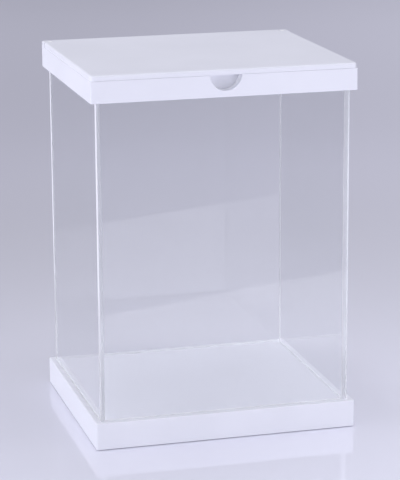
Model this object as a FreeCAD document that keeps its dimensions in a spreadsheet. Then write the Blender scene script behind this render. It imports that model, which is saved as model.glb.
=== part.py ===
import FreeCAD, Part
import os

import Sketcher

# Figure display case: a white moulded base, four clear sheets standing in its groove, a white upper frame
# that they carry, and a lid that swings up about two pins at the rear. Millimetres, +Z up, front towards -Y,
# origin on the table under the middle of the case.

SIZES = {
    # Whole case
    "case_width": 172.0,  # outer width of the base and of the upper frame
    "case_depth": 150.0,  # outer depth of the base and of the upper frame
    "case_height": 240.0,  # table to the lid's top face
    "corner_radius": 1.2,  # upright corners of the white mouldings
    "moulding_edge": 0.3,  # rounding of the mouldings' lower outer edges
    # Clear sheets
    "panel_thickness": 3.0,
    "panel_inset": 4.0,  # moulding's outer face to the sheet's outer face
    "panel_fit": 0.15,  # clearance on each side of a sheet in its groove
    "panel_glue": 0.1,  # film of glue between a groove's floor and a sheet's foot or head
    "panel_edge": 0.3,  # polished chamfer on a sheet's upright edges
    # Base
    "base_height": 17.6,  # moulding alone, without the proud part of the feet
    "base_top_edge": 0.8,  # rounding of the rim outside the sheets
    "base_groove_depth": 5.0,
    "groove_lead": 0.3,  # chamfer at the mouth of the base's groove, which guides the sheets in
    "groove_floor": 2.5,  # plastic under the groove
    "channel_wall": 2.5,  # plastic between a groove and the inside
    "skirt_wall": 2.5,  # outer wall below the groove
    "deck_thickness": 3.0,  # floor that the figure stands on
    "rib_width": 2.0,
    "rib_height": 3.0,
    # Feet
    "foot_diameter": 12.0,
    "foot_thickness": 2.0,
    "foot_proud": 0.4,  # how far a foot stands below the base
    "foot_setback": 10.0,  # base's outer face to the foot's centre
    "foot_fit": 0.2,  # clearance round a foot in its recess
    "foot_edge": 0.4,  # rounding of a foot's lower edge
    "boss_wall": 2.0,  # plastic round a foot's recess
    # Upper frame
    "frame_height": 13.8,  # lower edge to the lid's seat
    "frame_groove_depth": 3.0,
    "cup_radius": 10.4,  # half-moon finger recess
    "cup_depth": 7.5,
    "cup_rise": 0.6,  # recess centre above the lid's seat
    "cup_edge": 0.3,  # rounding of the recess rim
    # Lid
    "lid_thickness": 3.5,
    "lid_inset": 0.3,  # frame's outer face to the lid's edge
    "lid_corner": 3.0,  # upright front corners of the lid
    "lid_edge": 1.4,  # rounding of the lid's top edges
    "lid_skin": 2.4,  # plastic left over the recess in the underside
    "lip_height": 2.0,  # locating lip below the lid
    "lip_width": 2.0,
    "lip_gap": 0.6,  # lip to the frame's inner wall
    "seam_height": 0.2,  # shadow line under the lid's front edge
    "seam_depth": 0.3,
    # Hinge
    "ear_width": 6.0,  # frame's rear corner ears, across the case
    "ear_reach": 6.5,  # ear in front of the hinge axis
    "ear_edge": 1.0,  # rounding of the ears' top outer edges
    "hinge_gap": 0.3,  # lid to ear
    "heel_edge": 0.4,  # rounding of the lid's upper rear edge, which meets the stop
    "opening_angle": 110.0,  # lid open against the stop, degrees
    "stop_gap": 0.08,  # left under the heel at that angle
    "pin_diameter": 1.6,
    "pin_engagement": 8.0,  # pin inside the lid
    "pin_end_gap": 0.5,  # bore beyond the pin's end
    "pin_recess": 0.2,  # pin's outer end below the ear's face
    "pin_running_fit": 0.05,  # radial clearance in the lid
    "pin_press_fit": 0.01,  # radial interference in the ear
    "pin_chamfer": 0.2,
}
DECK_RIBS_ACROSS = 3  # ribs that run front to back
DECK_RIBS_ALONG = 2  # ribs that run side to side
LEVEL_TOLERANCE = 1e-4  # mm, for telling edges apart

doc = FreeCAD.newDocument("figure_display_case")
sheet = doc.addObject("Spreadsheet::Sheet", "Sizes")
for row, (alias, value) in enumerate(SIZES.items(), start=1):
    sheet.set(f"A{row}", alias)
    sheet.set(f"B{row}", str(value))
    sheet.setAlias(f"B{row}", alias)
doc.recompute()

# Levels and lines that several pieces share, as expressions on the sheet
BASE_BOTTOM = "Sizes.foot_proud"
BASE_TOP = "(Sizes.foot_proud + Sizes.base_height)"
LID_SEAT = "(Sizes.case_height - Sizes.lid_thickness)"
FRAME_BOTTOM = f"({LID_SEAT} - Sizes.frame_height)"
BASE_GROOVE = f"({BASE_TOP} - Sizes.base_groove_depth)"
FRAME_GROOVE = f"({FRAME_BOTTOM} + Sizes.frame_groove_depth)"
PANEL_FOOT = f"({BASE_GROOVE} + Sizes.panel_glue)"
PANEL_HEAD = f"({FRAME_GROOVE} - Sizes.panel_glue)"
GROOVE_OUTER = "(Sizes.panel_inset - Sizes.panel_fit)"
GROOVE_INNER = "(Sizes.panel_inset + Sizes.panel_thickness + Sizes.panel_fit)"
INSIDE_WALL = f"({GROOVE_INNER} + Sizes.channel_wall)"
HALF_WIDTH = "Sizes.case_width / 2"
HALF_DEPTH = "Sizes.case_depth / 2"
HALF_LID = "Sizes.lid_thickness / 2"
HINGE_Y = f"({HALF_DEPTH} - Sizes.lid_inset - {HALF_LID})"
HINGE_Z = f"(Sizes.case_height - {HALF_LID})"
EAR_FRONT = f"({HINGE_Y} - Sizes.ear_reach)"


def measure(expression):
    """The number that an expression on the sheet stands for."""
    return float(sheet.evalExpression(expression))


def bind(feature, **expressions):
    """Ties properties of a feature to the sheet. Double underscores stand for dots."""
    for path, expression in expressions.items():
        feature.setExpression(path.replace("__", "."), expression)


def add_body(label):
    body = doc.addObject("PartDesign::Body", label)
    body.Label = label
    return body


def add_sketch(body, name, level):
    """An empty level sketch at a height given by an expression."""
    sketch = body.newObject("Sketcher::SketchObject", name)
    ground = next(plane for plane in body.Origin.OriginFeatures if plane.Role == "XY_Plane")
    sketch.AttachmentSupport = (ground, [""])
    sketch.MapMode = "FlatFace"
    bind(sketch, AttachmentOffset__Base__z=level)
    return sketch


def draw_rectangle(sketch, width, depth):
    """A rectangle about the sketch's origin, its two sizes tied to expressions."""
    x = measure(width) / 2
    y = measure(depth) / 2
    corners = [FreeCAD.Vector(px, py, 0) for px, py in ((-x, -y), (x, -y), (x, y), (-x, y))]
    sides = zip(corners, corners[1:] + corners[:1])
    lines = [sketch.addGeometry(Part.LineSegment(start, end)) for start, end in sides]
    south, east, north, west = lines
    for first, second in zip(lines, lines[1:] + lines[:1]):
        sketch.addConstraint(Sketcher.Constraint("Coincident", first, 2, second, 1))
    for line in (south, north):
        sketch.addConstraint(Sketcher.Constraint("Horizontal", line))
    for line in (east, west):
        sketch.addConstraint(Sketcher.Constraint("Vertical", line))
    sketch.addConstraint(Sketcher.Constraint("Symmetric", south, 1, north, 1, -1, 1))
    across = sketch.addConstraint(Sketcher.Constraint("DistanceX", south, 1, south, 2, 2 * x))
    along = sketch.addConstraint(Sketcher.Constraint("DistanceY", east, 1, east, 2, 2 * y))
    sketch.setExpression(f"Constraints[{across}]", width)
    sketch.setExpression(f"Constraints[{along}]", depth)


def inset_rectangle(sketch, inset):
    """The case's outline, drawn in by an expression on every side."""
    draw_rectangle(sketch, f"Sizes.case_width - 2 * {inset}", f"Sizes.case_depth - 2 * {inset}")


def add_pad(body, name, sketch, length, downwards=False):
    pad = body.newObject("PartDesign::Pad", name)
    pad.Profile = sketch
    pad.Reversed = downwards
    bind(pad, Length=length)
    return pad


def add_pocket(body, name, sketch, depth, upwards=False):
    pocket = body.newObject("PartDesign::Pocket", name)
    pocket.Profile = sketch
    pocket.Reversed = upwards
    bind(pocket, Length=depth)
    return pocket


def add_block(body, name, kind, low, extent):
    """A box added to or cut from a body. Corner and size are three expressions each."""
    block = body.newObject(f"PartDesign::{kind}Box", name)
    for axis, place in zip("xyz", low):
        block.setExpression(f"Placement.Base.{axis}", place)
    for side, length in zip(("Length", "Width", "Height"), extent):
        block.setExpression(side, length)
    return block


def add_round(body, name, kind, direction, start, radius, length):
    """A cylinder added to or cut from a body, from a start point along a direction."""
    cylinder = body.newObject(f"PartDesign::{kind}Cylinder", name)
    turn = FreeCAD.Rotation(FreeCAD.Vector(0, 0, 1), FreeCAD.Vector(*direction))
    cylinder.Placement = FreeCAD.Placement(FreeCAD.Vector(), turn)
    for axis, place in zip("xyz", start):
        cylinder.setExpression(f"Placement.Base.{axis}", place)
    bind(cylinder, Radius=radius, Height=length)
    return cylinder


def ease_edges(body, name, kind, size, wanted, *details):
    """Rounds or chamfers the edges of the body so far that a test picks."""
    doc.recompute()
    base = body.Tip
    numbered = enumerate(base.Shape.Edges, start=1)
    names = [f"Edge{number}" for number, edge in numbered if wanted(edge, *details)]
    if not names:
        raise RuntimeError(f"{name}: no edge found")
    eased = body.newObject(f"PartDesign::{kind}", name)
    eased.Base = (base, names)
    bind(eased, **{"Radius" if kind == "Fillet" else "Size": size})
    return eased


def near(value, target):
    return abs(value - target) < LEVEL_TOLERANCE


def upright(edge):
    box = edge.BoundBox
    return near(box.XLength, 0) and near(box.YLength, 0)


def level_at(edge, *heights):
    box = edge.BoundBox
    return near(box.ZLength, 0) and any(near(box.ZMin, height) for height in heights)


def at_corner(edge, half):
    """True for an upright edge at a corner of a centred rectangle, given by its half width and half depth."""
    middle = edge.CenterOfMass
    return upright(edge) and near(abs(middle.x), half[0]) and near(abs(middle.y), half[1])


def on_outline(edge, half, *heights):
    """True for a straight level edge on a side of that rectangle. Tangent corner arcs are eased with it."""
    box = edge.BoundBox
    middle = edge.CenterOfMass
    on_side = near(box.XLength, 0) and near(abs(middle.x), half[0])
    on_end = near(box.YLength, 0) and near(abs(middle.y), half[1])
    return level_at(edge, *heights) and (on_side or on_end)


def on_end(edge, half, height, way):
    """True for such an edge at the front (way -1) or at the rear (way 1)."""
    return on_outline(edge, half, height) and near(edge.CenterOfMass.y, way * half[1])


def on_front_arc(edge, half):
    """True for a round edge in the front face."""
    box = edge.BoundBox
    in_face = near(box.YMin, -half[1]) and near(box.YMax, -half[1])
    return in_face and edge.Curve.TypeId == "Part::GeomCircle"


def square_to_x(edge):
    return near(edge.BoundBox.XLength, 0)


# Base: deck, groove channel, skirt, ribs and four foot bosses in one moulding
def make_base():
    body = add_body("base_tray")
    outline = add_sketch(body, "base_outline", BASE_BOTTOM)
    draw_rectangle(outline, "Sizes.case_width", "Sizes.case_depth")
    add_pad(body, "base_block", outline, "Sizes.base_height")
    half = (measure(HALF_WIDTH), measure(HALF_DEPTH))
    ease_edges(body, "base_corners", "Fillet", "Sizes.corner_radius", at_corner, half)
    bottom = measure(BASE_BOTTOM)
    top = measure(BASE_TOP)
    ease_edges(body, "base_lower_edges", "Fillet", "Sizes.moulding_edge", on_outline, half, bottom)
    ease_edges(body, "base_top_edges", "Fillet", "Sizes.base_top_edge", on_outline, half, top)

    skirt_room = add_sketch(body, "skirt_room", BASE_BOTTOM)
    inset_rectangle(skirt_room, "Sizes.skirt_wall")
    channel_under = f"({BASE_GROOVE} - Sizes.groove_floor)"
    add_pocket(body, "skirt_hollow", skirt_room, f"{channel_under} - {BASE_BOTTOM}", upwards=True)
    deck_room = add_sketch(body, "deck_room", BASE_BOTTOM)
    inset_rectangle(deck_room, INSIDE_WALL)
    deck_under = f"({BASE_TOP} - Sizes.deck_thickness)"
    add_pocket(body, "deck_hollow", deck_room, f"{deck_under} - {BASE_BOTTOM}", upwards=True)

    room_width = f"(Sizes.case_width - 2 * {INSIDE_WALL})"
    room_depth = f"(Sizes.case_depth - 2 * {INSIDE_WALL})"
    rib_low = f"{deck_under} - Sizes.rib_height"
    for i in range(1, DECK_RIBS_ACROSS + 1):
        middle = f"{room_width} * {i} / {DECK_RIBS_ACROSS + 1}"
        corner = (f"{middle} - ({room_width} + Sizes.rib_width) / 2", f"-{room_depth} / 2", rib_low)
        extent = ("Sizes.rib_width", room_depth, "Sizes.rib_height")
        add_block(body, f"rib_across_{i}", "Additive", corner, extent)
    for i in range(1, DECK_RIBS_ALONG + 1):
        middle = f"{room_depth} * {i} / {DECK_RIBS_ALONG + 1}"
        corner = (f"-{room_width} / 2", f"{middle} - ({room_depth} + Sizes.rib_width) / 2", rib_low)
        extent = (room_width, "Sizes.rib_width", "Sizes.rib_height")
        add_block(body, f"rib_along_{i}", "Additive", corner, extent)

    up = (0, 0, 1)
    boss_radius = "Sizes.foot_diameter / 2 + Sizes.foot_fit + Sizes.boss_wall"
    boss_height = f"{deck_under} - {BASE_BOTTOM}"
    for name, x, y in foot_places():
        add_round(body, f"boss_{name}", "Additive", up, (x, y, BASE_BOTTOM), boss_radius, boss_height)
    groove = add_sketch(body, "panel_groove", BASE_TOP)
    inset_rectangle(groove, GROOVE_OUTER)
    inset_rectangle(groove, GROOVE_INNER)
    add_pocket(body, "groove_cut", groove, "Sizes.base_groove_depth")
    for name, inset in (("lead_outer", GROOVE_OUTER), ("lead_inner", GROOVE_INNER)):
        mouth = (measure(f"{HALF_WIDTH} - {inset}"), measure(f"{HALF_DEPTH} - {inset}"))
        ease_edges(body, name, "Chamfer", "Sizes.groove_lead", on_outline, mouth, top)
    recess_radius = "Sizes.foot_diameter / 2 + Sizes.foot_fit"
    recess_depth = "Sizes.foot_thickness - Sizes.foot_proud"
    for name, x, y in foot_places():
        add_round(body, f"recess_{name}", "Subtractive", up, (x, y, BASE_BOTTOM), recess_radius, recess_depth)
    return body


def foot_places():
    """Name and centre of each foot, as expressions."""
    places = []
    for row, y_sign in (("front", "-"), ("rear", "")):
        for column, x_sign in (("left", "-"), ("right", "")):
            x = f"{x_sign}({HALF_WIDTH} - Sizes.foot_setback)"
            y = f"{y_sign}({HALF_DEPTH} - Sizes.foot_setback)"
            places.append((f"foot_{row}_{column}", x, y))
    return places


# Feet: soft pads glued into the bosses, standing a little proud of the base
def make_feet():
    bodies = []
    for name, x, y in foot_places():
        body = add_body(name)
        pad = body.newObject("PartDesign::AdditiveCylinder", f"{name}_pad")
        bind(pad, Radius="Sizes.foot_diameter / 2", Height="Sizes.foot_thickness")
        ease_edges(body, f"{name}_edge", "Fillet", "Sizes.foot_edge", level_at, 0)
        bind(body, Placement__Base__x=x, Placement__Base__y=y)
        bodies.append(body)
    return bodies


# Clear sheets: front and back run the full width, the sides stand between them
def make_panels():
    front_line = f"({HALF_DEPTH} - Sizes.panel_inset - Sizes.panel_thickness / 2)"
    side_line = f"({HALF_WIDTH} - Sizes.panel_inset - Sizes.panel_thickness / 2)"
    full_width = "Sizes.case_width - 2 * Sizes.panel_inset"
    between = "Sizes.case_depth - 2 * (Sizes.panel_inset + Sizes.panel_thickness + Sizes.panel_fit)"
    thickness = "Sizes.panel_thickness"
    sheets = (
        ("front_panel", full_width, thickness, "0", f"-{front_line}"),
        ("back_panel", full_width, thickness, "0", front_line),
        ("left_panel", thickness, between, f"-{side_line}", "0"),
        ("right_panel", thickness, between, side_line, "0"),
    )
    bodies = []
    for name, width, depth, x, y in sheets:
        body = add_body(name)
        outline = add_sketch(body, f"{name}_outline", "0")
        draw_rectangle(outline, width, depth)
        add_pad(body, f"{name}_sheet", outline, f"{PANEL_HEAD} - {PANEL_FOOT}")
        ease_edges(body, f"{name}_edges", "Chamfer", "Sizes.panel_edge", upright)
        bind(body, Placement__Base__x=x, Placement__Base__y=y, Placement__Base__z=PANEL_FOOT)
        bodies.append(body)
    return bodies


# Upper frame: a ring on the sheets with the lid's seat, the hinge ears and the finger recess
def make_frame():
    body = add_body("top_frame")
    outline = add_sketch(body, "frame_outline", FRAME_BOTTOM)
    draw_rectangle(outline, "Sizes.case_width", "Sizes.case_depth")
    add_pad(body, "frame_block", outline, "Sizes.frame_height")
    ear_length = f"{HALF_DEPTH} - {EAR_FRONT}"
    ear_extent = ("Sizes.ear_width", ear_length, "Sizes.lid_thickness")
    ears = (("left", f"-{HALF_WIDTH}"), ("right", f"{HALF_WIDTH} - Sizes.ear_width"))
    for side, x in ears:
        add_block(body, f"ear_{side}", "Additive", (x, EAR_FRONT, LID_SEAT), ear_extent)
    half = (measure(HALF_WIDTH), measure(HALF_DEPTH))
    bottom = measure(FRAME_BOTTOM)
    top = measure("Sizes.case_height")
    ease_edges(body, "frame_corners", "Fillet", "Sizes.corner_radius", at_corner, half)
    ease_edges(body, "frame_lower_edges", "Fillet", "Sizes.moulding_edge", on_outline, half, bottom)
    ease_edges(body, "ear_edges", "Fillet", "Sizes.ear_edge", on_outline, half, top)

    opening = add_sketch(body, "frame_opening", FRAME_BOTTOM)
    inset_rectangle(opening, INSIDE_WALL)
    add_pocket(body, "opening_cut", opening, "Sizes.frame_height", upwards=True)
    groove = add_sketch(body, "frame_groove", FRAME_BOTTOM)
    inset_rectangle(groove, GROOVE_OUTER)
    inset_rectangle(groove, GROOVE_INNER)
    add_pocket(body, "frame_groove_cut", groove, "Sizes.frame_groove_depth", upwards=True)

    cup_start = ("0", f"-{HALF_DEPTH}", f"{LID_SEAT} + Sizes.cup_rise")
    add_round(body, "finger_cup", "Subtractive", (0, 1, 0), cup_start, "Sizes.cup_radius", "Sizes.cup_depth")
    ease_edges(body, "finger_cup_rim", "Fillet", "Sizes.cup_edge", on_front_arc, half)
    # The lid's square heel turns from half a right angle above the hinge axis to its lowest place, at the
    # stop. The relief takes the heel there, or the round barrel where that reaches lower.
    heel_turn = "(min(Sizes.opening_angle; 135) - 45)"
    heel = f"({HALF_LID} - Sizes.heel_edge) * sqrt(2) * sin({heel_turn}) + Sizes.heel_edge"
    relief_depth = f"(max({heel}; {HALF_LID}) + Sizes.stop_gap - {HALF_LID})"
    relief_low = (
        f"-({HALF_WIDTH} - Sizes.ear_width)",
        f"{HINGE_Y} - {HALF_LID}",
        f"{LID_SEAT} - {relief_depth}",
    )
    relief_extent = (
        "Sizes.case_width - 2 * Sizes.ear_width",
        f"{HALF_DEPTH} - {HINGE_Y} + {HALF_LID}",
        relief_depth,
    )
    add_block(body, "heel_relief", "Subtractive", relief_low, relief_extent)
    hole_start = (f"-{HALF_WIDTH}", HINGE_Y, HINGE_Z)
    hole_radius = "Sizes.pin_diameter / 2 - Sizes.pin_press_fit"
    add_round(body, "pin_holes", "Subtractive", (1, 0, 0), hole_start, hole_radius, "Sizes.case_width")
    return body


# Lid: a thin plate with a locating lip, rounded about the hinge axis at its lower rear edge
def make_lid():
    body = add_body("lid")
    outline = add_sketch(body, "lid_outline", LID_SEAT)
    inset_rectangle(outline, "Sizes.lid_inset")
    add_pad(body, "lid_plate", outline, "Sizes.lid_thickness")
    half = (measure(f"{HALF_WIDTH} - Sizes.lid_inset"), measure(f"{HALF_DEPTH} - Sizes.lid_inset"))
    top = measure("Sizes.case_height")
    seat = measure(LID_SEAT)
    notch_extent = (
        "Sizes.ear_width + Sizes.hinge_gap",
        f"{HALF_DEPTH} - {EAR_FRONT} + Sizes.hinge_gap",
        "Sizes.lid_thickness",
    )
    notch_y = f"{EAR_FRONT} - Sizes.hinge_gap"
    notch_edge = f"({HALF_WIDTH} - Sizes.ear_width - Sizes.hinge_gap)"
    for side, x in (("left", f"-{HALF_WIDTH}"), ("right", notch_edge)):
        add_block(body, f"notch_{side}", "Subtractive", (x, notch_y, LID_SEAT), notch_extent)
    ease_edges(body, "lid_front_corners", "Fillet", "Sizes.lid_corner", at_corner, half)
    ease_edges(body, "barrel", "Fillet", HALF_LID, on_end, half, seat, 1)
    ease_edges(body, "heel", "Fillet", "Sizes.heel_edge", on_end, half, top, 1)
    ease_edges(body, "lid_top_edges", "Fillet", "Sizes.lid_edge", on_outline, half, top)
    seam_end = "(Sizes.lid_inset + Sizes.lid_corner)"
    seam_low = (f"{seam_end} - {HALF_WIDTH}", f"Sizes.lid_inset - {HALF_DEPTH}", LID_SEAT)
    seam_extent = (f"Sizes.case_width - 2 * {seam_end}", "Sizes.seam_depth", "Sizes.seam_height")
    add_block(body, "front_seam", "Subtractive", seam_low, seam_extent)

    lip_outer = f"({INSIDE_WALL} + Sizes.lip_gap)"
    lip = add_sketch(body, "lip_outline", LID_SEAT)
    inset_rectangle(lip, lip_outer)
    inset_rectangle(lip, f"({lip_outer} + Sizes.lip_width)")
    add_pad(body, "lip", lip, "Sizes.lip_height", downwards=True)
    pan = add_sketch(body, "underside_recess", LID_SEAT)
    inset_rectangle(pan, f"({lip_outer} + Sizes.lip_width)")
    add_pocket(body, "recess_cut", pan, "Sizes.lid_thickness - Sizes.lid_skin", upwards=True)

    bore_radius = "Sizes.pin_diameter / 2 + Sizes.pin_running_fit"
    bore_depth = "Sizes.pin_engagement + Sizes.pin_end_gap"
    for side, sign, way in (("left", "-", 1), ("right", "", -1)):
        start = (f"{sign}{notch_edge}", HINGE_Y, HINGE_Z)
        add_round(body, f"bore_{side}", "Subtractive", (way, 0, 0), start, bore_radius, bore_depth)
    return body


# Hinge pins: pressed into the ears from outside, free to turn in the lid
def make_pins():
    reach = "Sizes.ear_width + Sizes.hinge_gap + Sizes.pin_engagement - Sizes.pin_recess"
    bodies = []
    for side, sign, way in (("left", "-", 1), ("right", "", -1)):
        name = f"hinge_pin_{side}"
        body = add_body(name)
        start = (f"{sign}({HALF_WIDTH} - Sizes.pin_recess)", HINGE_Y, HINGE_Z)
        add_round(body, f"{name}_rod", "Additive", (way, 0, 0), start, "Sizes.pin_diameter / 2", reach)
        ease_edges(body, f"{name}_ends", "Chamfer", "Sizes.pin_chamfer", square_to_x)
        bodies.append(body)
    return bodies


pieces = [make_base(), *make_feet(), *make_panels(), make_frame(), make_lid(), *make_pins()]
doc.recompute()
for item in doc.Objects:
    if "Invalid" in item.State or "Error" in item.State:
        raise RuntimeError(f"{item.Name} failed: {item.State}")
for piece in pieces:
    if piece.Shape.isNull() or not piece.Shape.isValid() or len(piece.Shape.Solids) != 1:
        raise RuntimeError(f"{piece.Label} is not one sound solid")

os.makedirs("parts", exist_ok=True)
for piece in pieces:
    piece.Shape.exportStep(os.path.join("parts", f"{piece.Label}.step"))
    print(f"{piece.Label}: {piece.Shape.Volume / 1000:.2f} cm3")
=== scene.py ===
# %% [markdown]
# # Dressing a figure display case
#
# The case is a white moulded base, four clear sheets, a white upper frame and a hinged lid. Its shapes come
# ready made from the construction model, which is loaded as a fixed frame. This lesson gives each piece the
# finish that it has on the real case, then sets up a plain table, soft light and a camera.

# %% Load the construction model
import math

import bpy
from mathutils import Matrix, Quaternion, Vector


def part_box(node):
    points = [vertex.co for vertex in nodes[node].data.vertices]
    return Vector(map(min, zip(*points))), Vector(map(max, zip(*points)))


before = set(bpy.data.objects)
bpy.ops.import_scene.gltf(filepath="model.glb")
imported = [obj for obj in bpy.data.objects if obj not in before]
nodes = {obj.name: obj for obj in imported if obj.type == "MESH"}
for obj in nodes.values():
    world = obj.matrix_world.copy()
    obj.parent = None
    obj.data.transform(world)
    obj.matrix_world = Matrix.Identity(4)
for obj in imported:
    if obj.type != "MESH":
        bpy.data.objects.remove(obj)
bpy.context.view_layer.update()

MM = 0.001
print("pieces:", sorted(nodes))

# %% [markdown]
# ## Writing shader maths as expressions
#
# A finish is a net of small nodes, and placing each by hand hides the idea behind the wiring. So one small
# class wraps an output socket. Ordinary arithmetic on it adds Math nodes, and `node` adds anything else:
# first its settings, then the values or links of its sockets. Plain numbers are worked out in Python.

# %% A wire in a shader
COLOUR_RESULT = 2


class Wire:
    """An output socket of a node tree. Arithmetic with it adds Math nodes."""

    def __init__(self, tree, socket=None):
        self.tree = tree
        self.socket = socket

    def node(self, kind, settings=None, inputs=None, output=0):
        """Adds a node: settings first, then its sockets' values or links. Returns the wire of one output."""
        made = self.tree.nodes.new(kind)
        for name, value in (settings or {}).items():
            setattr(made, name, value)
        for name, value in (inputs or {}).items():
            plug = find_socket(made, name)
            if isinstance(value, Wire):
                self.tree.links.new(value.socket, plug)
            else:
                plug.default_value = value
        if not made.outputs:
            return made
        return Wire(self.tree, made.outputs[output])

    def math(self, operation, *values):
        inputs = dict(enumerate(values))
        return self.node("ShaderNodeMath", {"operation": operation}, inputs)

    def __add__(self, other):
        return self.math("ADD", self, other)

    def __sub__(self, other):
        return self.math("SUBTRACT", self, other)

    def __rsub__(self, other):
        return self.math("SUBTRACT", other, self)

    def __mul__(self, other):
        return self.math("MULTIPLY", self, other)

    __radd__ = __add__
    __rmul__ = __mul__

    def lesser(self, other):
        return self.math("MINIMUM", self, other)

    def greater(self, other):
        return self.math("MAXIMUM", self, other)

    def below(self, limit):
        """1 where this wire is less than a limit, or else 0."""
        return self.math("LESS_THAN", self, limit)

    def above(self, limit):
        """1 where this wire is more than a limit, or else 0."""
        return self.math("GREATER_THAN", self, limit)

    def fade(self, start, end, low=0.0, high=1.0):
        """Goes smoothly from low to high while this wire goes from start to end."""
        settings = {"interpolation_type": "SMOOTHSTEP"}
        ends = {"Value": self, "From Min": start, "From Max": end, "To Min": low, "To Max": high}
        return self.node("ShaderNodeMapRange", settings, ends)

    def mix(self, first, second):
        """Blends two colours, with this wire as the share of the second."""
        inputs = {"Factor": self, "A": first, "B": second}
        return self.node("ShaderNodeMix", {"data_type": "RGBA"}, inputs, COLOUR_RESULT)

    def mix_shaders(self, first, second):
        """Blends two shaders, with this wire as the share of the second."""
        return self.node("ShaderNodeMixShader", inputs={0: self, 1: first, 2: second})

    def to_surface(self):
        """Makes this shader the one that the material shows."""
        self.node("ShaderNodeOutputMaterial", inputs={"Surface": self})


def find_socket(made, name):
    """An input by number, or by name among those that the node's settings leave in use."""
    if isinstance(name, int):
        return made.inputs[name]
    return next(plug for plug in made.inputs if plug.name == name and plug.enabled)


print("shader maths ready")

# %% [markdown]
# ## Starting a finish
#
# Each finish starts from an empty net. A colour is written as three numbers, and the nodes ask for a fourth,
# so a helper adds it and can shade the colour at the same time. Cloudy noise is the commonest pattern. Most
# of its values lie near the middle, so a narrower span has to be stretched to get the full contrast.

# %% Empty finishes, colours and noise
NOISE_SPAN = (0.3, 0.7)
NOISE_MIDDLE = 0.5


def new_finish(name):
    """An empty material and a wire to start its net from."""
    material = bpy.data.materials.new(name)
    material.use_nodes = True
    material.node_tree.nodes.clear()
    return material, Wire(material.node_tree)


def rgba(colour, shade=1.0):
    return tuple(shade * part for part in colour) + (1.0,)


def noise(wire, spot, scale, detail):
    """Clouds with a number of blotches per metre."""
    return wire.node("ShaderNodeTexNoise", inputs={"Vector": spot, "Scale": scale, "Detail": detail})


print("noise is stretched from", NOISE_SPAN)

# %% [markdown]
# ## Places on a piece
#
# A finish changes over a piece: edges are handled more than flats, and a sheet's cut ends look unlike its
# faces. Each node's own coordinates stay with it when it moves, so masks are worked out from them and from
# the piece's box. A point is near an edge when it is near two sides of the box at once.

# %% Coordinates and edges
X, Y, Z = range(3)


def place_of(wire):
    """A point's own place, as one wire and as the wires of its x, y and z."""
    spot = wire.node("ShaderNodeTexCoord", output="Object")
    parts = [wire.node("ShaderNodeSeparateXYZ", inputs={0: spot}, output=axis) for axis in (X, Y, Z)]
    return spot, parts


def side_gaps(wire, node):
    """How far a point lies inside its node's box along x, y and z."""
    low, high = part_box(node)
    _, spot = place_of(wire)
    return [(spot[axis] - low[axis]).lesser(high[axis] - spot[axis]) for axis in (X, Y, Z)]


def near_edges(wire, node, reach):
    """1 on the edges of a node's box, fading to 0 at a distance of reach."""
    first, second, third = side_gaps(wire, node)
    middle = first.lesser(second).greater(first.greater(second).lesser(third))
    return middle.fade(0, reach, 1, 0)


print("masks follow the boxes of", len(nodes), "pieces")

# %% [markdown]
# ## Grooves
#
# The sheets stand in a groove that runs round the base, and carry the upper frame in another. The walls of
# both, and the sheets inside them, are painted a pale white: painted light that lifts the shade falling in
# the grooves, so they don't show as dark gaps. The walls could be picked out face by face, but two measures
# find
# them just as well: how far a point lies in from the moulding's sides, and whether it lies below the base's
# rim or above the frame's lower edge.

# %% Masks of the grooves
GROOVE_BAND = (3.5 * MM, 7.5 * MM)
rim_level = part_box("base_tray")[1][Z]
brow_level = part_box("top_frame")[0][Z]


def at_groove_level(wire):
    """1 below the rim of the base and above the lower edge of the upper frame."""
    _, spot = place_of(wire)
    return (rim_level - spot[Z]).greater(spot[Z] - brow_level).above(0.0)


def on_groove_walls(wire, node):
    """1 on the walls of a moulding's groove, which runs round it a little way in from its sides."""
    across, along, _ = side_gaps(wire, node)
    inset = across.lesser(along)
    outer, inner = GROOVE_BAND
    return inset.above(outer) * inset.below(inner) * at_groove_level(wire)


print(f"sheets show from {rim_level / MM:.1f} to {brow_level / MM:.1f} mm above the table")

# %% [markdown]
# ## White moulded plastic
#
# The base, frame and lid are injection moulded in a cool white with a satin surface. A flat colour would
# look like paint, so the finish has three parts: a slow change of tone and gloss where the melt flowed, a
# fine spark-eroded grain, and edges that handling has rubbed a little smoother. On the two grooved
# mouldings the groove walls then get a paler white, painted light that lifts the shade in them.

# %% Satin white finish
PLASTIC_WHITE = (0.845, 0.85, 0.895)
PLASTIC_IOR = 1.5
PLASTIC_ROUGHNESS = 0.5
FLOW_SCALE = 1 / (45 * MM)
FLOW_DETAIL = 3.0
FLOW_SHADES = (0.985, 1.01)
FLOW_GLOSS = 0.10
MOTTLE_SCALE = 8 * FLOW_SCALE
MOTTLE_DETAIL = 5.0
MOTTLE_GLOSS = 0.08
GRAIN_SCALE = 1 / (0.5 * MM)
GRAIN_DETAIL = 2.0
GRAIN_STRENGTH = 0.6
GRAIN_DEPTH = 0.006 * MM
EDGE_RUB = 1.2 * MM
RUB_SPAN = (0.35, 0.65)
RUBBED_SHADE = 1.03
RUBBED_SHARE = 0.5
RUBBED_GLOSS = 0.08
# Painted light: a paler white on the groove walls, lifting the shade that falls in them.
PAINTED_GROOVE_WHITE = (0.975, 0.977, 0.985)


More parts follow.
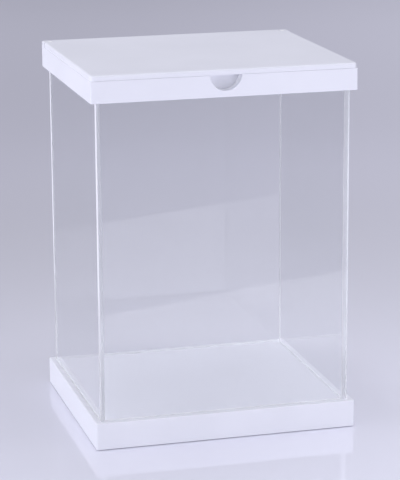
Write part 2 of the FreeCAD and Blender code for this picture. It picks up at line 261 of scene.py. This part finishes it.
def make_plastic(node, grooved):
    """The finish of a moulding, with its groove's walls painted paler to lift their shade, if it has one."""
    material, wire = new_finish(f"satin_white_{node}")
    spot, _ = place_of(wire)
    flow = noise(wire, spot, FLOW_SCALE, FLOW_DETAIL)
    mottle = noise(wire, spot, MOTTLE_SCALE, MOTTLE_DETAIL)
    grain = noise(wire, spot, GRAIN_SCALE, GRAIN_DETAIL)
    rubbed = near_edges(wire, node, EDGE_RUB) * mottle.fade(*RUB_SPAN)
    dull, fresh = [rgba(PLASTIC_WHITE, shade) for shade in FLOW_SHADES]
    tone = flow.fade(*NOISE_SPAN).mix(dull, fresh)
    colour = (rubbed * RUBBED_SHARE).mix(tone, rgba(PLASTIC_WHITE, RUBBED_SHADE))
    # Painted light: the groove walls are paler, to lift the shade in them.
    if grooved:
        colour = on_groove_walls(wire, node).mix(colour, rgba(PAINTED_GROOVE_WHITE))
    clouds = (flow - NOISE_MIDDLE) * FLOW_GLOSS + (mottle - NOISE_MIDDLE) * MOTTLE_GLOSS
    roughness = PLASTIC_ROUGHNESS + clouds - rubbed * RUBBED_GLOSS
    bump = {"Height": grain, "Strength": GRAIN_STRENGTH, "Distance": GRAIN_DEPTH}
    relief = wire.node("ShaderNodeBump", inputs=bump)
    looks = {"Base Color": colour, "Roughness": roughness, "Normal": relief, "IOR": PLASTIC_IOR}
    wire.node("ShaderNodeBsdfPrincipled", inputs=looks).to_surface()
    return material


finishes = {name: make_plastic(name, grooved=True) for name in ("base_tray", "top_frame")}
finishes["lid"] = make_plastic("lid", grooved=False)
print("satin white:", list(finishes))

# %% [markdown]
# ## Clear sheets
#
# The sheets are cast acrylic. As closed slabs they can be true glass, which bends light and mirrors the
# table faintly. Handling leaves smears that dull the polish a very little, here and there. The front and
# back sheets cover the ends of the side sheets, and those covered ends are wetted with glue: they only blur
# what shines through them.

# %% Polished acrylic
SHEET_TINT = (0.962, 0.967, 0.971)
SHEET_IOR = 1.49
SMEAR_SCALE = 30.0
SMEAR_DETAIL = 4.0
SMEAR_SPAN = (0.52, 0.72)
HAZE_SCALE = 220.0
HAZE_DETAIL = 3.0
HAZE_SPAN = (0.4, 0.7)
HANDLED_SHADE = 0.99
HANDLED_ROUGHNESS = 0.03
CUT_SKIN = 0.31 * MM
GLUED_ROUGHNESS = 0.4


def at_ends(wire, node, axis):
    """1 on a sheet's two cut ends along an axis, with their chamfers."""
    return side_gaps(wire, node)[axis].below(CUT_SKIN)


def add_clear(wire, node, covers):
    """Polished acrylic with faint marks of handling, blurred on ends that are covered and glued."""
    spot, _ = place_of(wire)
    smear = noise(wire, spot, SMEAR_SCALE, SMEAR_DETAIL)
    haze = noise(wire, spot, HAZE_SCALE, HAZE_DETAIL)
    handled = smear.fade(*SMEAR_SPAN) * haze.fade(*HAZE_SPAN)
    tint = handled.mix(rgba(SHEET_TINT), rgba(SHEET_TINT, HANDLED_SHADE))
    roughness = handled * HANDLED_ROUGHNESS
    if not covers:
        roughness = roughness.greater(at_ends(wire, node, Y) * GLUED_ROUGHNESS)
    looks = {"Base Color": tint, "Roughness": roughness, "IOR": SHEET_IOR, "Transmission Weight": 1.0}
    return wire.node("ShaderNodeBsdfPrincipled", inputs=looks)


print("acrylic with a refractive index of", SHEET_IOR)

# %% [markdown]
# ## Cut ends and painted light
#
# The saw-cut ends of the front and back sheets show at the corners as thin white lines. Towards the foot
# the white is painted fainter: painted shade, as the lines show darker low down. At the side sheets'
# covered ends a little white is painted near the foot, painted light that lifts the shade gathering in the
# corners there. Inside the two grooves all sheets are painted white too, to lift the shade in the grooves.
# All of this is one frosted white shader, and a mask says how much of it covers the clear one.

# %% Frosted white and where it lies
CUT_WHITE = (0.93, 0.935, 0.96)
CUT_SHADE = 0.97
CUT_SHARE = (0.35, 1.0)
CUT_ROUGHNESS = 0.4
SAW_SCALE = 900.0
SAW_DETAIL = 3.0
SAW_ROUGHNESS = 0.3
# Painted shade: over this height from the foot the cut ends' white fades to its fainter share.
CUT_FADE_HEIGHT = 110 * MM
# Painted light: share of white on sheets inside the grooves, lifting their shade.
PAINTED_GROOVE_SHARE = 0.85
# Painted light: white near the foot of the covered ends, lifting the shade in the corners.
FOOT_LIFT_HEIGHT = 50 * MM
FOOT_LIFT_SHARE = (0.28, 0.0)


def add_frosted(wire):
    spot, _ = place_of(wire)
    saw_marks = noise(wire, spot, SAW_SCALE, SAW_DETAIL)
    white = saw_marks.fade(*NOISE_SPAN).mix(rgba(CUT_WHITE, CUT_SHADE), rgba(CUT_WHITE))
    looks = {"Base Color": white, "Roughness": CUT_ROUGHNESS + saw_marks * SAW_ROUGHNESS}
    return wire.node("ShaderNodeBsdfPrincipled", inputs=looks)


def white_share(wire, node, covers):
    """How white a sheet is: sawn ends on covering sheets, painted fainter towards the foot as shade, and
    painted white in the grooves and at the foot of covered ends to lift their shade.
    """
    _, spot = place_of(wire)
    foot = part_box(node)[0][Z]
    if covers:
        ends = at_ends(wire, node, X) * spot[Z].fade(foot, foot + CUT_FADE_HEIGHT, *CUT_SHARE)
    else:
        ends = at_ends(wire, node, Y) * spot[Z].fade(foot, foot + FOOT_LIFT_HEIGHT, *FOOT_LIFT_SHARE)
    return (at_groove_level(wire) * PAINTED_GROOVE_SHARE).greater(ends)


print("share of white on cut ends, from foot to top:", CUT_SHARE)

# %% [markdown]
# ## Whole sheets
#
# Each sheet mixes the clear and the frosted shader by its mask. True glass would block the lamps, so their
# shadow rays see a plain see-through shader instead. That is much cheaper than tracing the bent light, and
# in sheets as thin as these it looks the same.

# %% Clear acrylic finish
SHEET_SHADOW = (0.955, 0.957, 0.96)


def make_sheet(node, covers):
    """The finish of a sheet that covers its neighbours' ends, or of one whose ends are covered."""
    material, wire = new_finish(f"clear_acrylic_{node}")
    clear = add_clear(wire, node, covers)
    dressed = white_share(wire, node, covers).mix_shaders(clear, add_frosted(wire))
    see_through = wire.node("ShaderNodeBsdfTransparent", inputs={"Color": rgba(SHEET_SHADOW)})
    lamp_ray = wire.node("ShaderNodeLightPath", output="Is Shadow Ray")
    lamp_ray.mix_shaders(dressed, see_through).to_surface()
    return material


for name in ("front_panel", "back_panel"):
    finishes[name] = make_sheet(name, covers=True)
for name in ("left_panel", "right_panel"):
    finishes[name] = make_sheet(name, covers=False)
print("finishes so far:", list(finishes))

# %% [markdown]
# ## Feet
#
# The feet are soft grey pads with a dull skin of fine pores, a little dusty in places. They hardly show, so
# one finish does for all four.

# %% Rubber finish
RUBBER_GREY = (0.30, 0.30, 0.31)
RUBBER_ROUGHNESS = 0.75
DUST_SCALE = 400.0
DUST_DETAIL = 5.0
DUST_SPAN = (0.4, 0.75)
DUST_SHADE = 1.35
DUST_ROUGHNESS = 0.2
PORE_SCALE = 2500.0
PORE_STRENGTH = 0.5
PORE_DEPTH = 0.02 * MM


def make_rubber():
    material, wire = new_finish("soft_grey_rubber")
    spot, _ = place_of(wire)
    dust = noise(wire, spot, DUST_SCALE, DUST_DETAIL)
    pores = wire.node("ShaderNodeTexVoronoi", inputs={"Vector": spot, "Scale": PORE_SCALE})
    colour = dust.fade(*DUST_SPAN).mix(rgba(RUBBER_GREY), rgba(RUBBER_GREY, DUST_SHADE))
    bump = {"Height": pores, "Strength": PORE_STRENGTH, "Distance": PORE_DEPTH}
    relief = wire.node("ShaderNodeBump", inputs=bump)
    roughness = RUBBER_ROUGHNESS + dust * DUST_ROUGHNESS
    looks = {"Base Color": colour, "Roughness": roughness, "Normal": relief}
    wire.node("ShaderNodeBsdfPrincipled", inputs=looks).to_surface()
    return material


rubber = make_rubber()
print("made", rubber.name)

# %% [markdown]
# ## Hinge pins
#
# The pins are drawn steel wire, so their scratches run along them. Noise that is stretched along the pin and
# squeezed across it gives such lines, without drawing a single one.

# %% Steel finish
STEEL_GREY = (0.62, 0.62, 0.63)
STEEL_ROUGHNESS = 0.22
STEEL_SHADES = (0.9, 1.1)
DRAWN_SCALE = (60.0, 9000.0, 9000.0)
DRAWN_DETAIL = 3.0
DRAWN_ROUGHNESS = 0.2


def make_steel():
    material, wire = new_finish("drawn_steel")
    spot, _ = place_of(wire)
    drawn = wire.node("ShaderNodeMapping", inputs={"Vector": spot, "Scale": DRAWN_SCALE})
    lines = noise(wire, drawn, 1.0, DRAWN_DETAIL)
    dark, bright = [rgba(STEEL_GREY, shade) for shade in STEEL_SHADES]
    colour = lines.fade(*NOISE_SPAN).mix(dark, bright)
    roughness = STEEL_ROUGHNESS + lines * DRAWN_ROUGHNESS
    looks = {"Base Color": colour, "Metallic": 1.0, "Roughness": roughness}
    wire.node("ShaderNodeBsdfPrincipled", inputs=looks).to_surface()
    return material


steel = make_steel()
print("made", steel.name)

# %% [markdown]
# ## Giving each piece its finish
#
# The construction model's pieces keep their shapes and places. Only the material in each of their slots
# changes. The mouldings and sheets have finishes of their own, because their masks follow their own boxes.

# %% Fill the material slots
for name, piece in nodes.items():
    finish = finishes.get(name, rubber if name.startswith("foot") else steel)
    for slot in piece.material_slots:
        slot.material = finish
    print(f"{name}: {finish.name}")

# %% [markdown]
# ## Tones of the floor
#
# The surface under the case is brightest just before it, grows darker further away and a little lighter
# again far back, and its right side is lighter than its left. That is painted light and shade: lamps alone
# could do that, but they would change the case as well, so the floor's own colour is graded instead.

# %% Colour by place
NEAR_TONE = (0.895, 0.895, 0.98)
MIDDLE_TONE = (0.605, 0.60, 0.66)
FAR_TONE = (0.75, 0.745, 0.82)
TONE_CENTRE = (-0.04, -0.28, 0.0)
TONE_REACH = 0.90
FAR_REACH = (1.2, 2.2)
SIDE_REACH = 0.38
SIDE_SHADE = (0.94, 1.125)


def measure(wire, operation, *points):
    """A number that Vector Math gives for points, such as a distance."""
    return wire.node("ShaderNodeVectorMath", {"operation": operation}, dict(enumerate(points)), "Value")


# Painted light and shade: the floor's colour is graded in place of a pool of light before the case and a
# lighter right side.
def painted_floor_light(wire, spot, across):
    distance = measure(wire, "DISTANCE", spot, TONE_CENTRE)
    tone = distance.fade(0, TONE_REACH).mix(rgba(NEAR_TONE), rgba(MIDDLE_TONE))
    tone = distance.fade(*FAR_REACH).mix(tone, rgba(FAR_TONE))
    shade = across.fade(-SIDE_REACH, SIDE_REACH, *SIDE_SHADE)
    return wire.node("ShaderNodeVectorMath", {"operation": "SCALE"}, {0: tone, "Scale": shade})


print("floor brightest at", TONE_CENTRE)

# %% [markdown]
# ## Table and floor
#
# The case stands on a pale board with a gloss, which mirrors the base. The board's straight front edge shows
# as two faint slanted lines, one in the front sheet and one in the back sheet. Before that edge, and further
# away, the surface is matt paper. A board and a sheet of paper could be two pieces, but then their gap would
# show, so one large plane does for both: its finish mixes the two shaders by place.

# %% Pale floor with a gloss board
BOARD_TURN = math.radians(-19.35)
BOARD_FRONT = 0.350
BOARD_REACH = (0.6, 1.0)
BOARD_ROUGHNESS = 0.05
BOARD_IOR = 1.75
GLOSS_FADE = (0.25, 0.9)
PAPER_ROUGHNESS = 1.0
PAPER_IOR = 1.1
FLOOR_SIZE = 12.0
FACE_UP = (0, 1, 2, 3)


def make_floor_finish():
    material, wire = new_finish("pale_floor")
    spot, _ = place_of(wire)
    turn = {"Vector": spot, "Angle": -BOARD_TURN}
    turned = wire.node("ShaderNodeVectorRotate", {"rotation_type": "Z_AXIS"}, turn)
    across, away = [wire.node("ShaderNodeSeparateXYZ", inputs={0: turned}, output=axis) for axis in (X, Y)]
    tone = painted_floor_light(wire, spot, across)
    matt = {"Base Color": tone, "Roughness": PAPER_ROUGHNESS, "IOR": PAPER_IOR}
    gloss = {"Base Color": tone, "Roughness": BOARD_ROUGHNESS, "IOR": BOARD_IOR}
    paper, board = [wire.node("ShaderNodeBsdfPrincipled", inputs=looks) for looks in (matt, gloss)]
    round_case = measure(wire, "LENGTH", spot).fade(*BOARD_REACH, 1, 0)
    on_board = away.above(-BOARD_FRONT) * away.fade(*GLOSS_FADE, 1, 0) * round_case
    on_board.mix_shaders(paper, board).to_surface()
    return material


def add_plane(name, width, height, face, finish):
    """A flat rectangle that isn't part of the case."""
    signs = ((-1, -1), (1, -1), (1, 1), (-1, 1))
    mesh = bpy.data.meshes.new(name)
    mesh.from_pydata([(x * width / 2, y * height / 2, 0) for x, y in signs], [], [face])
    mesh.materials.append(finish)
    plane = bpy.data.objects.new(name, mesh)
    bpy.context.scene.collection.objects.link(plane)
    return plane


add_plane("floor", FLOOR_SIZE, FLOOR_SIZE, FACE_UP, make_floor_finish())
print("board front edge", BOARD_FRONT, "m before the middle of the case")

# %% [markdown]
# ## Light that no mirror shows
#
# In a studio, a softbox is moved about until no mirror image of it shows in gloss or glass. A softbox that
# glows only for light on its way to or from a dull surface does the same from every side: the camera, the
# board and the clear sheets look straight through it, and so does anything behind it.

# %% Glow of a softbox
LIGHT_COLOUR = (0.95, 0.955, 1.06)


def make_glow(name, radiance):
    """Lights all that scatters light. The camera, mirrors and clear sheets look straight through it."""
    material, wire = new_finish(f"{name}_glow")
    kinds = ("Is Camera Ray", "Is Glossy Ray", "Is Transmission Ray", "Diffuse Depth")
    rays = [wire.node("ShaderNodeLightPath", output=kind) for kind in kinds]
    camera_ray, mirror_ray, clear_ray, scatters = rays
    looking = camera_ray.greater(mirror_ray).greater(clear_ray) * scatters.below(1)
    rear_side = wire.node("ShaderNodeNewGeometry", output="Backfacing")
    glow = wire.node("ShaderNodeEmission", inputs={"Color": rgba(LIGHT_COLOUR), "Strength": radiance})
    nothing = wire.node("ShaderNodeBsdfTransparent")
    rear_side.greater(looking).mix_shaders(glow, nothing).to_surface()
    return material


print("light colour", LIGHT_COLOUR)

# %% [markdown]
# ## Softboxes
#
# A long low softbox at the left, a small low one near at the right and a large one above light the case
# almost without shadows. Each is a plane that faces down and is then turned to the case, which is easier to
# place than three angles would be.

# %% Softboxes round the case
AIM = Vector((0, 0, 0.12))
FACE_DOWN = (0, 3, 2, 1)


def aim_at_case(thing, place):
    """Puts a lamp or a softbox at a place, with its underside turned to the case."""
    thing.location = place
    thing.rotation_mode = "QUATERNION"
    thing.rotation_quaternion = (AIM - Vector(place)).to_track_quat("-Z", "Y")


def add_softbox(name, place, width, height, radiance):
    softbox = add_plane(name, width, height, FACE_DOWN, make_glow(name, radiance))
    softbox.visible_shadow = False
    aim_at_case(softbox, place)
    print(f"{name}: {width} x {height} m, radiance {radiance}")


add_softbox("left_softbox", place=(-1.15, -0.05, 0.31), width=2.2, height=0.6, radiance=2.75)
add_softbox("right_softbox", place=(0.70, -0.62, 0.15), width=0.7, height=0.28, radiance=3.2)
add_softbox("top_softbox", place=(0.20, 0.25, 1.7), width=1.8, height=1.8, radiance=1.6)

# %% [markdown]
# ## Front lamp
#
# One lamp stands far in front, and mirrors do show it. The board mirrors it as far as its front edge, and
# that makes the slanted lines in the sheets. It is an ordinary area lamp, which is told its power: its
# radiance times its area and pi.

# %% Lamp that the board mirrors
FRONT_PLACE = (0.61, -2.12, 0.33)
FRONT_WIDTH = 0.9
FRONT_HEIGHT = 0.5
FRONT_RADIANCE = 2.7

front_lamp = bpy.data.lights.new("front_softbox", "AREA")
front_lamp.shape = "RECTANGLE"
front_lamp.size = FRONT_WIDTH
front_lamp.size_y = FRONT_HEIGHT
front_lamp.energy = math.pi * FRONT_RADIANCE * FRONT_WIDTH * FRONT_HEIGHT
front_lamp.color = LIGHT_COLOUR
front_softbox = bpy.data.objects.new("front_softbox", front_lamp)
front_softbox.visible_camera = False
bpy.context.scene.collection.objects.link(front_softbox)
aim_at_case(front_softbox, FRONT_PLACE)
print(f"front lamp: {front_lamp.energy:.2f} W")

# %% [markdown]
# ## Room
#
# A pale room fills in the rest of the light. It is brighter before the case than behind it, so the front
# faces stay light and the sheets mirror a soft change of tone instead of one flat grey.

# %% Pale room
ROOM_FRONT = 0.58
ROOM_BACK = 0.40
ROOM_FADE = (-0.4, 0.6)

room = bpy.data.worlds.new("pale_room")
room.use_nodes = True
room.node_tree.nodes.clear()
sky = Wire(room.node_tree)
way = sky.node("ShaderNodeTexCoord", output="Generated")
depth = sky.node("ShaderNodeSeparateXYZ", inputs={0: way}, output=Y)
level = depth.fade(*ROOM_FADE, ROOM_FRONT, ROOM_BACK)
air = sky.node("ShaderNodeBackground", inputs={"Color": rgba(LIGHT_COLOUR), "Strength": level})
sky.node("ShaderNodeOutputWorld", inputs={"Surface": air})
bpy.context.scene.world = room
print("room from", ROOM_FRONT, "in front to", ROOM_BACK, "behind")

# %% [markdown]
# ## Camera
#
# A long lens looks at the middle of the case from a little to the left and above. From so far away, upright
# edges stay almost parallel. The camera's place follows from two angles and a distance, which are easier to
# adjust than three coordinates. Light crosses many faces of clear sheet, so it gets more bounces than usual.

# %% Camera
VIEW_AZIMUTH = math.radians(-15.25)
VIEW_ELEVATION = math.radians(14.0)
VIEW_ROLL = math.radians(-0.37)
VIEW_DISTANCE = 1.4273
VIEW_TARGET = Vector((2.3, -2.3, 114.1)) * MM
LENS = 161.62
DEEP_GLASS = 32

camera_data = bpy.data.cameras.new("camera")
camera_data.lens = LENS
camera = bpy.data.objects.new("camera", camera_data)
back = Vector(
    (
        math.sin(VIEW_AZIMUTH) * math.cos(VIEW_ELEVATION),
        -math.cos(VIEW_AZIMUTH) * math.cos(VIEW_ELEVATION),
        math.sin(VIEW_ELEVATION),
    )
)
camera.location = VIEW_TARGET + back * VIEW_DISTANCE
camera.rotation_mode = "QUATERNION"
camera.rotation_quaternion = (-back).to_track_quat("-Z", "Y") @ Quaternion((0, 0, 1), VIEW_ROLL)
bpy.context.scene.collection.objects.link(camera)
bpy.context.scene.camera = camera
bpy.context.scene.view_settings.view_transform = "Standard"
for kind in ("max_bounces", "transmission_bounces", "glossy_bounces"):
    setattr(bpy.context.scene.cycles, kind, DEEP_GLASS)
print("camera at", [round(part, 3) for part in camera.location])
